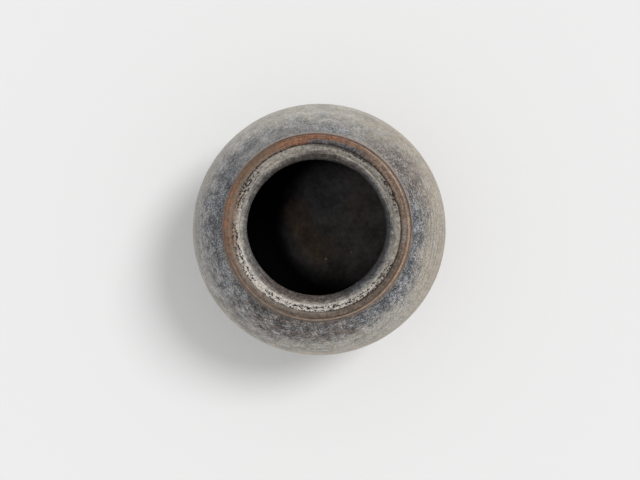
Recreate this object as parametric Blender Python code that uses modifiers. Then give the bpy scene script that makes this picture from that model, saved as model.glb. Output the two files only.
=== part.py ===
"""Pottery jar: a round-bellied stoneware storage jar with a thick lip and a ledge for a lid inside it.

The jar is modelled as the pieces of clay that a potter builds it from. A beaten disc is the floor.
The wall is two courses, a lower one and a shoulder, which lap at the belly. A rolled coil is pressed
into the corner of the floor, and another over the belly's seam. The rim is a neck band, a lid ledge
and a rolled lip, with the crust that old sealings left where the lip steps down to the ledge.

Metres, +Z up. The origin is the middle of the foot, on the ground, and the jar's axis is Z.
An outline is a list of (radius, height) points that runs down the outer side and up the inner one.
"""

import math

import bpy
from mathutils import Vector

MM = 0.001

# Whole jar
JAR_HEIGHT = 245 * MM
BELLY_DIAMETER = 290 * MM
BELLY_HEIGHT = 135 * MM
FOOT_DIAMETER = 150 * MM
FOOT_TAPER_POWER = 2.1  # 1 is a straight cone from foot to belly, and more is a fuller curve
WALL_THICKNESS = 9 * MM
LUTE_GAP = 0.3 * MM  # the film of slip between two pieces of clay
TURN_STEPS = 60  # facets round the axis
MERGE_DISTANCE = 0.01 * MM
SOLVE_STEPS = 60
SOLVE_DOME_SHARE = 0.98  # how far up the shoulder's ellipse a joint may lie

# Floor and foot
FLOOR_THICKNESS = 11 * MM
FOOT_EDGE_ROUND = 2 * MM
FOOT_EDGE_BOW_SHARE = 0.25  # how far the rounded edge bows out, as a share of its height
FOOT_RING_WIDTH = 14 * MM
FOOT_DISH_DEPTH = 2.5 * MM
FOOT_DISH_BOW_SHARE = 0.25
CORNER_COIL_WIDTH = 11 * MM
CORNER_COIL_HEIGHT = 12 * MM
CORNER_COIL_HOLLOW = 1 * MM

# Wall courses: the finger grooves are on the inside
BELLY_LAP_RISE = 6 * MM
GROOVE_PITCH = 18 * MM
GROOVE_DEPTH = 0.8 * MM
SEAM_COIL_HEIGHT = 26 * MM
SEAM_COIL_THICKNESS = 3 * MM

# Neck band
NECK_HEIGHT = 11 * MM
NECK_FOOT_DIAMETER = 203 * MM
NECK_TOP_DIAMETER = 197 * MM
NECK_SEAT_FALL = 1.3 * MM  # how far the seat on the shoulder falls from its outer edge to its inner one
NECK_HOLLOW = 2.4 * MM
THROAT_SWELL = 1.2 * MM

# Lid ledge
MOUTH_DIAMETER = 151 * MM
LEDGE_DIAMETER = 174 * MM
LEDGE_THICKNESS = 8 * MM
LEDGE_NOSE = 4 * MM

# Lip
LIP_DIAMETER = 203 * MM
LIP_RISE = 7 * MM  # from the lid ledge to the crown of the lip
LIP_CROWN_RISE = 1.4 * MM
LIP_ARRIS_INSET = 3.9 * MM
LIP_CROWN_WIDTH = 7.5 * MM
LIP_STEP_FOOT = 1.6 * MM
LIP_STEP_HOLLOW = 0.5 * MM

# Seal crust
CRUST_WIDTH = 4.4 * MM
CRUST_TOE = 0.7 * MM
CRUST_HEIGHT = 3.4 * MM
CRUST_SWELL = 0.5 * MM
CRUST_LUMP_HEIGHT = 1.1 * MM
CRUST_LUMP_SIZE = 7 * MM
CRUST_TURN_STEPS = 120

# Radii, and the levels at which the pieces of the rim meet
BELLY_RADIUS = BELLY_DIAMETER / 2
FOOT_RADIUS = FOOT_DIAMETER / 2
NECK_FOOT_RADIUS = NECK_FOOT_DIAMETER / 2
NECK_TOP_RADIUS = NECK_TOP_DIAMETER / 2
MOUTH_RADIUS = MOUTH_DIAMETER / 2
LEDGE_RADIUS = LEDGE_DIAMETER / 2
LIP_RADIUS = LIP_DIAMETER / 2
LEDGE_LEVEL = JAR_HEIGHT - LIP_RISE
NECK_TOP_LEVEL = LEDGE_LEVEL - LEDGE_THICKNESS - LUTE_GAP
SHOULDER_TOP_LEVEL = NECK_TOP_LEVEL - NECK_HEIGHT

# The shoulder is part of an ellipse, and this is how far above the belly that ellipse would close
DOME_HEIGHT = (SHOULDER_TOP_LEVEL - BELLY_HEIGHT) / math.sqrt(1 - (NECK_FOOT_RADIUS / BELLY_RADIUS) ** 2)

# Base colour and roughness of each piece
FINISHES = {
    "base_disc": ((0.33, 0.30, 0.26), 0.85),
    "corner_coil": ((0.030, 0.022, 0.017), 0.45),
    "lower_wall": ((0.36, 0.34, 0.30), 0.80),
    "belly_seam_coil": ((0.030, 0.022, 0.017), 0.45),
    "shoulder_wall": ((0.26, 0.255, 0.245), 0.80),
    "neck_band": ((0.12, 0.10, 0.085), 0.70),
    "lid_ledge": ((0.36, 0.34, 0.31), 0.75),
    "lip_roll": ((0.22, 0.125, 0.075), 0.60),
    "seal_crust": ((0.55, 0.51, 0.45), 0.95),
}


def clear_scene():
    for thing in list(bpy.data.objects):
        bpy.data.objects.remove(thing, do_unlink=True)


def new_collection(name):
    collection = bpy.data.collections.new(name)
    bpy.context.scene.collection.children.link(collection)
    return collection


def finish_material(name):
    colour, roughness = FINISHES[name]
    material = bpy.data.materials.new(name)
    material.use_nodes = True
    shader = material.node_tree.nodes["Principled BSDF"]
    shader.inputs["Base Color"].default_value = (*colour, 1)
    shader.inputs["Roughness"].default_value = roughness
    shader.inputs["Metallic"].default_value = 0
    return material


def arc(start, end, rise, count):
    """Points on a circular arc from start to end, which bows out by rise to the left of the way it runs."""
    start = Vector(start)
    end = Vector(end)
    chord = end - start
    along = chord.normalized()
    left = Vector((-along.y, along.x))
    half_angle = 2 * math.atan2(rise, chord.length / 2)
    radius = chord.length / 2 / math.sin(half_angle)
    centre = (start + end) / 2 + left * (rise - radius)
    angles = [half_angle * (2 * step / count - 1) for step in range(count + 1)]
    return [centre + radius * (left * math.cos(angle) + along * math.sin(angle)) for angle in angles]


def turned(name, outline, collection, parent, steps=TURN_STEPS):
    """A turned piece. An outline that ends on the axis stays open, and any other is a closed ring's section."""
    count = len(outline)
    on_axis = outline[0][0] == 0
    base = min(height for _, height in outline)
    corners = [(radius, 0, height - base) for radius, height in outline]
    edges = [(corner, (corner + 1) % count) for corner in range(count - 1 if on_axis else count)]
    mesh = bpy.data.meshes.new(name)
    mesh.from_pydata(corners, edges, [])
    mesh.materials.append(finish_material(name))
    piece = bpy.data.objects.new(name, mesh)
    piece.location.z = base
    piece.parent = parent
    collection.objects.link(piece)
    turn = piece.modifiers.new("turn", "SCREW")
    turn.steps = steps
    turn.render_steps = steps
    turn.use_merge_vertices = True
    turn.merge_threshold = MERGE_DISTANCE
    turn.use_smooth_shade = True
    return piece


def wall_outside(height):
    """The outer wall's point at this height."""
    if height <= BELLY_HEIGHT:
        drop_share = 1 - height / BELLY_HEIGHT
        radius = BELLY_RADIUS - (BELLY_RADIUS - FOOT_RADIUS) * drop_share**FOOT_TAPER_POWER
    else:
        rise_share = (height - BELLY_HEIGHT) / DOME_HEIGHT
        radius = BELLY_RADIUS * math.sqrt(1 - rise_share**2)
    return Vector((radius, height))


def wall_normal(height):
    """The outer wall's outward normal at this height."""
    if height <= BELLY_HEIGHT:
        drop_share = 1 - height / BELLY_HEIGHT
        spread = BELLY_RADIUS - FOOT_RADIUS
        slope = spread * FOOT_TAPER_POWER * drop_share ** (FOOT_TAPER_POWER - 1) / BELLY_HEIGHT
    else:
        rise_share = (height - BELLY_HEIGHT) / DOME_HEIGHT
        slope = -BELLY_RADIUS * rise_share / (DOME_HEIGHT * math.sqrt(1 - rise_share**2))
    return Vector((1, -slope)).normalized()


def wall_inside(height, depth=WALL_THICKNESS):
    """The point this deep in the wall, straight in from the outer point at this height."""
    return wall_outside(height) - depth * wall_normal(height)


def solve(measure, target, low, high):
    """The value between low and high at which measure, which rises or falls all the way, is target."""
    rising = measure(high) > measure(low)
    for _ in range(SOLVE_STEPS):
        middle = (low + high) / 2
        if (measure(middle) < target) == rising:
            low = middle
        else:
            high = middle
    return (low + high) / 2


def wall_heights(start, end, count):
    """Heights from start to end, spaced by the turn of the wall's curve, so closer where it turns in."""

    def turn_of(height):
        if height <= BELLY_HEIGHT:
            return height / BELLY_HEIGHT - 1
        return math.asin((height - BELLY_HEIGHT) / DOME_HEIGHT)

    def height_of(turn):
        if turn <= 0:
            return BELLY_HEIGHT * (turn + 1)
        return BELLY_HEIGHT + DOME_HEIGHT * math.sin(turn)

    first = turn_of(start)
    last = turn_of(end)
    return [height_of(first + (last - first) * step / count) for step in range(count + 1)]


def outer_line(top, bottom, count):
    """The outer wall's points from top down to bottom."""
    return [wall_outside(height) for height in wall_heights(top, bottom, count)]


def grooved_line(bottom, top):
    """The inner wall's points from bottom up to top, with a finger groove in each pitch."""
    length = line_length([wall_inside(height) for height in wall_heights(bottom, top, TURN_STEPS)])
    grooves = max(1, round(length / GROOVE_PITCH))
    line = []
    for step, height in enumerate(wall_heights(bottom, top, 2 * grooves)):
        groove = GROOVE_DEPTH if step % 2 else 0
        line.append(wall_inside(height, WALL_THICKNESS - groove))
    return line


def line_length(points):
    return sum((end - start).length for start, end in zip(points, points[1:]))


# Where the pieces of the wall meet. A joint's two numbers are the heights of the outer wall's points
# from which its outer and its inner edge are measured.
FLOOR_JOINT = solve(lambda height: wall_inside(height).y, FLOOR_THICKNESS, 0, BELLY_HEIGHT)
BELLY_JOINT_OUTER = BELLY_HEIGHT - BELLY_LAP_RISE / 2
BELLY_JOINT_INNER = BELLY_HEIGHT + BELLY_LAP_RISE / 2
BELLY_LAP_GAP = LUTE_GAP * math.hypot(BELLY_LAP_RISE, WALL_THICKNESS) / WALL_THICKNESS
NECK_SEAT_LEVEL = SHOULDER_TOP_LEVEL - NECK_SEAT_FALL
NECK_JOINT_LIMIT = BELLY_HEIGHT + DOME_HEIGHT * SOLVE_DOME_SHARE
NECK_JOINT_INNER = solve(
    lambda height: wall_inside(height).y, NECK_SEAT_LEVEL, BELLY_HEIGHT, NECK_JOINT_LIMIT
)


def base_disc(collection, parent):
    """The floor: a beaten disc with a bevelled edge for the wall, a flat foot ring and a dished middle."""
    bevel_in = wall_inside(FLOOR_JOINT)
    foot_flat = wall_outside(0).x - FOOT_EDGE_ROUND
    dish_edge = foot_flat - FOOT_RING_WIDTH
    middle = Vector((0, FLOOR_THICKNESS))
    outside = outer_line(FLOOR_JOINT, FOOT_EDGE_ROUND, 1)
    foot_edge = arc(outside[-1], (foot_flat, 0), FOOT_EDGE_ROUND * FOOT_EDGE_BOW_SHARE, 2)[1:]
    dish_top = Vector((0, FOOT_DISH_DEPTH))
    dish = arc((dish_edge, 0), dish_top, -FOOT_DISH_DEPTH * FOOT_DISH_BOW_SHARE, 3)[:-1]
    outline = [middle, Vector((bevel_in.x, FLOOR_THICKNESS))] + outside + foot_edge + dish + [dish_top]
    return turned("base_disc", outline, collection, parent)


def corner_coil(collection, parent):
    """The rolled coil that is pressed into the corner between the floor and the wall."""
    depth = WALL_THICKNESS + LUTE_GAP
    bed = FLOOR_THICKNESS + LUTE_GAP
    low = solve(lambda height: wall_inside(height, depth).y, bed, 0, BELLY_HEIGHT)
    high = solve(lambda height: wall_inside(height, depth).y, bed + CORNER_COIL_HEIGHT, 0, BELLY_HEIGHT)
    against_wall = [wall_inside(height, depth) for height in wall_heights(high, low, 2)]
    toe = Vector((against_wall[-1].x - CORNER_COIL_WIDTH, bed))
    face = arc(toe, against_wall[0], -CORNER_COIL_HOLLOW, 3)[:-1]
    return turned("corner_coil", against_wall + face, collection, parent)


def lower_wall(collection, parent):
    """The lower course, from the bevelled edge of the floor to the lap at the belly."""
    bottom = FLOOR_JOINT + LUTE_GAP * wall_normal(FLOOR_JOINT).x
    outline = outer_line(BELLY_JOINT_OUTER, bottom, 8) + grooved_line(bottom, BELLY_JOINT_INNER)
    return turned("lower_wall", outline, collection, parent)


def belly_seam_coil(collection, parent):
    """The flat coil that is smeared over the seam between the two courses, on the inside."""
    depth = WALL_THICKNESS + LUTE_GAP
    top = BELLY_JOINT_INNER + SEAM_COIL_HEIGHT / 2
    bottom = BELLY_JOINT_INNER - SEAM_COIL_HEIGHT / 2
    against_wall = [wall_inside(height, depth) for height in wall_heights(top, bottom, 3)]
    face = arc(against_wall[-1], against_wall[0], SEAM_COIL_THICKNESS, 4)[1:-1]
    return turned("belly_seam_coil", against_wall + face, collection, parent)


def shoulder_wall(collection, parent):
    """The upper course, from the lap at the belly to the seat that is trimmed for the neck."""
    outside = outer_line(SHOULDER_TOP_LEVEL, BELLY_JOINT_OUTER + BELLY_LAP_GAP, 7)
    inside = grooved_line(BELLY_JOINT_INNER + BELLY_LAP_GAP, NECK_JOINT_INNER)
    return turned("shoulder_wall", outside + inside, collection, parent)


def neck_band(collection, parent):
    """The short thick neck on the shoulder's seat, hollow outside, drawn in below the ledge inside."""
    lift = Vector((0, LUTE_GAP))
    top_outer = Vector((NECK_TOP_RADIUS, NECK_TOP_LEVEL))
    top_inner = Vector((MOUTH_RADIUS + LEDGE_NOSE, NECK_TOP_LEVEL))
    foot_outer = wall_outside(SHOULDER_TOP_LEVEL) + lift
    foot_inner = wall_inside(NECK_JOINT_INNER) + lift
    outside = arc(top_outer, foot_outer, -NECK_HOLLOW, 4)
    inside = arc(foot_inner, top_inner, THROAT_SWELL, 2)
    return turned("neck_band", outside + inside, collection, parent)


def lid_ledge(collection, parent):
    """The flat ring that a lid rests on, with a round nose at the mouth."""
    bed = NECK_TOP_LEVEL + LUTE_GAP
    nose_radius = MOUTH_RADIUS + LEDGE_NOSE
    back = [Vector((LEDGE_RADIUS, LEDGE_LEVEL)), Vector((LEDGE_RADIUS, bed))]
    nose = arc((nose_radius, bed), (nose_radius, LEDGE_LEVEL), LEDGE_NOSE, 6)
    return turned("lid_ledge", back + nose, collection, parent)


def lip_step():
    """The face that drops from the lip's crown to the ledge, from its foot up."""
    foot = Vector((LEDGE_RADIUS + LUTE_GAP, LEDGE_LEVEL + LIP_STEP_FOOT))
    head = Vector((LIP_RADIUS - LIP_ARRIS_INSET - LIP_CROWN_WIDTH, JAR_HEIGHT - LIP_CROWN_RISE))
    return arc(foot, head, -LIP_STEP_HOLLOW, 2)


def lip_roll(collection, parent):
    """The rolled lip: a swelling outer side, an arris, a low crown and the step down to the ledge."""
    bed = NECK_TOP_LEVEL + LUTE_GAP
    step = lip_step()
    arris = Vector((LIP_RADIUS - LIP_ARRIS_INSET, JAR_HEIGHT - LIP_CROWN_RISE))
    foot_outer = Vector((NECK_TOP_RADIUS, bed))
    swell = LIP_RADIUS - (arris.x + foot_outer.x) / 2
    outside = arc(arris, foot_outer, swell, 5)
    crown = arc(step[-1], arris, LIP_CROWN_RISE, 4)[1:-1]
    outline = outside + [Vector((step[0].x, bed))] + step + crown
    return turned("lip_roll", outline, collection, parent)


def seal_crust(collection, parent):
    """The lumpy crust in the corner of the ledge and the step, where the lid was sealed down."""
    bed = LEDGE_LEVEL + LUTE_GAP
    foot, middle, head = lip_step()
    clear = Vector((-LUTE_GAP, 0))
    toe = Vector((foot.x - CRUST_WIDTH, bed))
    toe_top = toe + Vector((0, CRUST_TOE))
    height_share = (bed + CRUST_HEIGHT - middle.y) / (head.y - middle.y)
    crest = middle.lerp(head, height_share) + clear
    back = [crest, foot + clear, Vector((foot.x - LUTE_GAP, bed))]
    face = arc(toe_top, crest, CRUST_SWELL, 4)[:-1]
    piece = turned("seal_crust", back + [toe] + face, collection, parent, CRUST_TURN_STEPS)
    lumpy = piece.vertex_groups.new(name="lumpy")
    first = len(back) + 1
    lumpy.add(range(first + 1, first + len(face)), 1, "REPLACE")
    grain = bpy.data.textures.new("crust_lumps", "CLOUDS")
    grain.noise_scale = CRUST_LUMP_SIZE
    lumps = piece.modifiers.new("lumps", "DISPLACE")
    lumps.texture = grain
    lumps.texture_coords = "LOCAL"
    lumps.vertex_group = lumpy.name
    lumps.strength = CRUST_LUMP_HEIGHT
    lumps.mid_level = 0.5
    return piece


def main():
    clear_scene()
    collection = new_collection("pottery_jar")
    jar = bpy.data.objects.new("jar", None)
    collection.objects.link(jar)
    makers = (
        base_disc,
        corner_coil,
        lower_wall,
        belly_seam_coil,
        shoulder_wall,
        neck_band,
        lid_ledge,
        lip_roll,
        seal_crust,
    )
    for make in makers:
        make(collection, jar)


main()
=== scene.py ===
# %% [markdown]
# # A stoneware storage jar, seen from above
#
# The jar is round-bellied, with a thick brown lip, a pale ledge inside it where a lid used to sit,
# and a dark glazed inside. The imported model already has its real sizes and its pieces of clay.
# This script gives every piece a surface: the ridges that fingers leave on a wheel, the wear on
# the lip, the white crust of old sealings, and the blue-black ash on the shoulder.
#
# The frame is loaded first, and nothing here moves it. Its box is kept, because the dressed jar
# has to stay the same size.

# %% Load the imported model
import math

import bpy
import numpy as np
from mathutils import Matrix, Vector, noise


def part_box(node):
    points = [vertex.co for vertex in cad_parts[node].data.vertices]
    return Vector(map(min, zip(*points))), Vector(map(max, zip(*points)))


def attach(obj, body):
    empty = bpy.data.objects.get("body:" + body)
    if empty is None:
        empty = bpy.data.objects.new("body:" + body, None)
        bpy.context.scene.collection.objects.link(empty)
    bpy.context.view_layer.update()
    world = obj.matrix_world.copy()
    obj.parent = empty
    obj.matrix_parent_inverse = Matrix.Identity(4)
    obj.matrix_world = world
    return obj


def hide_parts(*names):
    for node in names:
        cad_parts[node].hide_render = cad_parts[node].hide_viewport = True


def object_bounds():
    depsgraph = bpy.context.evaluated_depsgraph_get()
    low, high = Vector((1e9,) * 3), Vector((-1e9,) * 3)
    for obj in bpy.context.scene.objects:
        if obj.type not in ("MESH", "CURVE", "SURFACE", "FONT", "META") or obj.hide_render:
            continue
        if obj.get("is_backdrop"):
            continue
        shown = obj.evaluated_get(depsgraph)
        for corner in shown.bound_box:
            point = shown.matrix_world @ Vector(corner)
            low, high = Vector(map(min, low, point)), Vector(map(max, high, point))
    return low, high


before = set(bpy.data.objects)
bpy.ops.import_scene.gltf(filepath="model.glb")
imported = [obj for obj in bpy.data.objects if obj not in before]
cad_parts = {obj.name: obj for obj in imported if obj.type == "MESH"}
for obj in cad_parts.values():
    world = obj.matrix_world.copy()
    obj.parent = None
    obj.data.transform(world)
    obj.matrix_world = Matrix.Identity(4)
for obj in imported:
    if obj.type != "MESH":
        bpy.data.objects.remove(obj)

MM = 0.001


def in_mm(*points):
    """All the coordinates of these points, in millimetres."""
    return [round(value / MM, 1) for point in points for value in point]


cad_low, cad_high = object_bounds()
print("packed model, lowest and highest corner in mm:", in_mm(cad_low, cad_high))

# %% [markdown]
# ## The camera
#
# The photograph looks straight down the jar's axis, from so far up that the belly and the lip are
# almost in true proportion. The picture's up is +Y and its right is +X. The lip's centre sits a
# little up and left of the belly's, so the camera stands a few centimetres to the side. A camera
# that looks down has no natural "up", so its axes are worked out from +Y by hand.

# %% Camera
CAMERA_PLACE = Vector((0.031, -0.0375, 1.632))
CAMERA_AIM = Vector((0.0015, -0.0120, 0.135))
CAMERA_LENS = 73.0
CAMERA_SENSOR = 36.0


def look(place, aim):
    """The matrix of a camera at place that looks at aim, with +Y up in its picture."""
    ahead = (aim - place).normalized()
    right = ahead.cross(Vector((0, 1, 0))).normalized()
    turn = Matrix((right, right.cross(ahead), -ahead)).transposed().to_4x4()
    return Matrix.Translation(place) @ turn


def stand(name, data, matrix=Matrix()):
    """A new object of the scene."""
    made = bpy.data.objects.new(name, data)
    made.matrix_world = matrix
    bpy.context.scene.collection.objects.link(made)
    return made


camera_data = bpy.data.cameras.new("camera")
camera_data.lens = CAMERA_LENS
camera_data.sensor_width = CAMERA_SENSOR
camera_data.clip_start = 0.01
camera_data.clip_end = 50
bpy.context.scene.camera = stand("camera", camera_data, look(CAMERA_PLACE, CAMERA_AIM))
bpy.context.scene.view_settings.view_transform = "Standard"
print("camera", round((CAMERA_PLACE - CAMERA_AIM).length, 2), "m from what it looks at")

# %% [markdown]
# ## Nodes
#
# The surroundings, the floor and all the finishes are made of shader nodes. These helpers add
# nodes to `tree`, the node tree that is being painted. What a node gives is a `Value`, and sums on
# it are written as sums: `dust * 0.5` adds a Math node, and `1 - dust` another.

# %% Nodes
class Value:
    """What a socket gives, with sums that add Math nodes."""

    def __init__(self, socket):
        self.socket = socket

    def __add__(self, other):
        return calc("ADD", self, other)

    def __sub__(self, other):
        return calc("SUBTRACT", self, other)

    def __rsub__(self, other):
        return calc("SUBTRACT", other, self)

    def __mul__(self, other):
        return calc("MULTIPLY", self, other)


def feed(socket, given):
    """Feeds a socket from a Value, or with a plain number, vector or colour."""
    if isinstance(given, Value):
        tree.links.new(given.socket, socket)
    else:
        socket.default_value = given


def node(kind, inputs=(), **settings):
    """A new node. inputs gives {socket name or number: what feeds it}."""
    made = tree.nodes.new("ShaderNode" + kind)
    for key, setting in settings.items():
        setattr(made, key, setting)
    for key, given in dict(inputs).items():
        feed(made.inputs[key], given)
    return made


def get(kind, inputs=(), output=0, **settings):
    """What one output of a new node gives."""
    return Value(node(kind, inputs, **settings).outputs[output])


def calc(operation, *given):
    """One Math node."""
    return get("Math", enumerate(given), operation=operation)


def vector(operation, *given, output="Vector"):
    """One Vector Math node."""
    return get("VectorMath", enumerate(given), output, operation=operation)


def most(*masks):
    """The highest of the masks at each point."""
    highest = masks[0]
    for mask in masks[1:]:
        highest = calc("MAXIMUM", highest, mask)
    return highest


def new_material(name, gloss):
    """A new material, and the inputs of its Principled shader. gloss is its specular level."""
    made = bpy.data.materials.new(name)
    made.use_nodes = True
    shader = made.node_tree.nodes["Principled BSDF"].inputs
    shader["Specular IOR Level"].default_value = gloss
    return made, shader


def tell(name):
    """Prints how many nodes the tree has by now."""
    print(name, "has", len(tree.nodes), "nodes")


print("helpers for nodes:", [helper.__name__ for helper in (feed, node, get, calc, vector, most)])

# %% [markdown]
# ## The light
#
# One large soft lamp stands high to the upper right, so the jar's shadow falls to the lower left
# with a wide soft edge. A sun with a wide angle does the same as a big softbox, wherever it is
# placed. The rest is an even white surrounding. Together they light a level white surface to just
# under white, so a colour renders about as it is written. What the camera sees directly, or in a
# gloss, stays white, and puts no more light on the jar.

# %% Lamp and surroundings
LAMP_DIRECTION = Vector((0.50, 0.32, 1.0)).normalized()
LAMP_SHARE = 0.375
SURROUND_SHARE = 0.625
LAMP_ANGLE = math.radians(18)

lamp_data = bpy.data.lights.new("softbox", "SUN")
lamp_data.energy = LAMP_SHARE * math.pi / LAMP_DIRECTION.z
lamp_data.angle = LAMP_ANGLE
stand("softbox", lamp_data, look(LAMP_DIRECTION, Vector((0, 0, 0))))

world = bpy.data.worlds.new("studio")
world.use_nodes = True
bpy.context.scene.world = world
tree = world.node_tree
rays = node("LightPath").outputs
seen = most(*(Value(rays[f"Is {kind} Ray"]) for kind in ("Camera", "Glossy", "Transmission")))
background = tree.nodes["Background"].inputs
feed(background["Color"], (1, 1, 1, 1))
feed(background["Strength"], get("MapRange", {"Value": seen, "To Min": SURROUND_SHARE, "To Max": 1}))
tell("the surroundings")
print("lamp strength", round(lamp_data.energy, 3))

# %% [markdown]
# ## The floor
#
# The jar stands on a seamless sheet of pale grey paper. It is a plain plane, far wider than the
# picture, that only has to catch the shadow. It is marked as stage, so it is no part of the jar.

# %% Floor
FLOOR_HALF = 6.0
FLOOR_TONE = 0.862

corners = [(x * FLOOR_HALF, y * FLOOR_HALF, 0) for x, y in ((-1, -1), (1, -1), (1, 1), (-1, 1))]
floor_mesh = bpy.data.meshes.new("paper")
floor_mesh.from_pydata(corners, [], [(0, 1, 2, 3)])
paper, shader = new_material("paper", 0)
feed(shader["Base Color"], (FLOOR_TONE, FLOOR_TONE, FLOOR_TONE, 1))
feed(shader["Roughness"], 0.9)
floor_mesh.materials.append(paper)
floor = stand("paper", floor_mesh)
floor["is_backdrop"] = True
print("floor is", FLOOR_HALF * 2, "m across")

# %% [markdown]
# ## The wall's curve
#
# A potter judges a jar by its side view. Below the belly it is a power curve that leaves the foot
# straight and swells to the belly. Above, it is a quarter of an ellipse that would close over the
# jar if the neck did not cut it off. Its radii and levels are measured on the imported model's
# boxes, so the surfaces made here lie on its solids.

# %% Wall curve
FOOT_RADIUS = 75 * MM
FOOT_TAPER_POWER = 2.1
WALL = 9 * MM

floor_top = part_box("base_disc")[1].z
belly_radius = cad_high.x
belly_level = (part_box("lower_wall")[1].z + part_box("shoulder_wall")[0].z) / 2
shoulder_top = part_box("shoulder_wall")[1].z
neck_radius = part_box("neck_band")[1].x
dome = (shoulder_top - belly_level) / math.sqrt(1 - (neck_radius / belly_radius) ** 2)


def wall_outside(level):
    """The outer wall's (radius, level) at this level."""
    if level <= belly_level:
        drop = 1 - level / belly_level
        return Vector((belly_radius - (belly_radius - FOOT_RADIUS) * drop**FOOT_TAPER_POWER, level))
    rise = (level - belly_level) / dome
    return Vector((belly_radius * math.sqrt(1 - rise**2), level))


def wall_facing(level):
    """The way the outer wall faces at this level, as (outward, up)."""
    if level <= belly_level:
        drop = 1 - level / belly_level
        swell = (belly_radius - FOOT_RADIUS) * FOOT_TAPER_POWER / belly_level
        lean = swell * drop ** (FOOT_TAPER_POWER - 1)
    else:
        rise = (level - belly_level) / dome
        lean = -belly_radius * rise / (dome * math.sqrt(1 - rise**2))
    return Vector((1, -lean)).normalized()


def wall_inside(level, depth=WALL):
    """The point this deep in the wall, straight in from the outer point at this level."""
    return wall_outside(level) - depth * wall_facing(level)


print("belly radius", round(belly_radius / MM, 1), "mm at", round(belly_level / MM, 1), "mm up")
print("the dome would rise", round(dome / MM, 1), "mm above it")

# %% [markdown]
# ## Lines to turn
#
# A turned piece is one outline swept round the axis, made of runs of (radius, level) points.
# Small helpers draw them: points along a curve such as the wall's, an arc that bows out to the
# left of its run, a line resampled at an even step, and a line whose corners are worn round. The
# last helper finds by halving where something starts, as where the wall's inside meets the floor.

# %% Line helpers
def run(curve, start, end, count=120):
    """Points on a curve, which gives a point for each value from start to end."""
    return [curve(start + (end - start) * step / count) for step in range(count + 1)]


def arc(start, end, rise, count=24):
    """Points on an arc from start to end that bows out by rise to the left of the way it runs."""
    start, end = Vector(start), Vector(end)
    chord = end - start
    along = chord.normalized()
    left = Vector((-along.y, along.x))
    half = 2 * math.atan2(rise, chord.length / 2)
    radius = chord.length / 2 / math.sin(half)
    middle = (start + end) / 2 + left * (rise - radius)
    turns = [half * (2 * step / count - 1) for step in range(count + 1)]
    return [middle + radius * (left * math.cos(turn) + along * math.sin(turn)) for turn in turns]


def even(points, step):
    """The same line with its points an even distance apart, about one step."""
    line = np.array([tuple(point) for point in points])
    reach = np.concatenate([[0], np.cumsum(np.hypot(*np.diff(line, axis=0).T))])
    marks = np.linspace(0, reach[-1], max(1, round(reach[-1] / step)) + 1)
    return np.column_stack([np.interp(marks, reach, line[:, 0]), np.interp(marks, reach, line[:, 1])])


def worn(line, passes):
    """The line with its corners rubbed round. Its two ends stay."""
    line = line.copy()
    for _ in range(passes):
        line[1:-1] = (line[:-2] + 2 * line[1:-1] + line[2:]) / 4
    return line


def where(before, low, high):
    """The value between low and high up to which before holds."""
    for _ in range(40):
        middle = (low + high) / 2
        low, high = (middle, high) if before(middle) else (low, middle)
    return (low + high) / 2


print("a bowed line of 3 points, in mm:", in_mm(*arc((10 * MM, 0), (0, 10 * MM), -2 * MM, 2)))

# %% [markdown]
# ## Relief
#
# Clay is never smooth. Fingers leave ridges that run round the pot, and the wall wanders a little
# between them. Both come from Blender's own noise. A ridge must close on itself after one turn,
# so its noise is read on a circle: cosine and sine of the azimuth for the way round, and the
# distance along the wall for the way up. A small circle makes long even ridges. Finer marks would
# need millions of points, so they come later, as bumps in the finishes.

# %% Relief helpers
RIDGE_WAVER = 1.2
GROOVE_PITCH = 18 * MM
GROOVE_DEPTH = 0.8 * MM


def ridges(turn, along, pitch, seed=0.0, waver=RIDGE_WAVER):
    """Throwing ridges, from -1 to 1: long round the jar, and one pitch apart along the wall."""
    return noise.noise(Vector((math.cos(turn) * waver + seed, math.sin(turn) * waver, along / pitch)))


def lumps(radius, turn, level, size, seed=0.0):
    """Even lumps of about this size in metres, from -1 to 1."""
    spot = Vector((radius * math.cos(turn), radius * math.sin(turn), level)) / size
    return noise.noise(spot + Vector((seed, seed, seed)))


def slope(value, start, end):
    """0 where value is at start, 1 where it is at end, and an easy slope between."""
    part = min(1.0, max(0.0, (value - start) / (end - start)))
    return part * part * (3 - 2 * part)


def up_the_wall(radius, level):
    """How far along the wall a point lies. It runs on from the lower wall to the shoulder."""
    inward = belly_radius - radius
    return level + inward if level > belly_level else level - inward


def outside_relief(radius, turn, level):
    """The outer wall: throwing ridges, stronger low down, and a slow wander between them."""
    along = up_the_wall(radius, level)
    strong = 1 + slope(level, belly_level, belly_level * 0.6)
    broad = 0.20 * strong * ridges(turn, along, 9 * MM) + 0.09 * ridges(turn, along, 4.5 * MM, 5)
    slow = 0.42 * lumps(radius, turn, level, 60 * MM) + 0.14 * lumps(radius, turn, level, 9 * MM, 3)
    return (broad + slow) * MM


def inside_relief(radius, turn, level):
    """The inner wall: one deep finger groove that climbs the wall, and small ridges on it."""
    along = up_the_wall(radius, level)
    climb = along / GROOVE_PITCH * 2 * math.pi - turn
    small = 0.15 * ridges(turn, along, 5 * MM, 9) + 0.2 * lumps(radius, turn, level, 30 * MM, 7)
    return small * MM - GROOVE_DEPTH * (0.5 + 0.5 * math.cos(climb))


def no_relief(radius, turn, level):
    """A buried face is left plain."""
    return 0.0


sample = [outside_relief(belly_radius, step, belly_level) / MM for step in range(6)]
print("the belly strays by", [round(stray, 2) for stray in sample], "mm")

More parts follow.
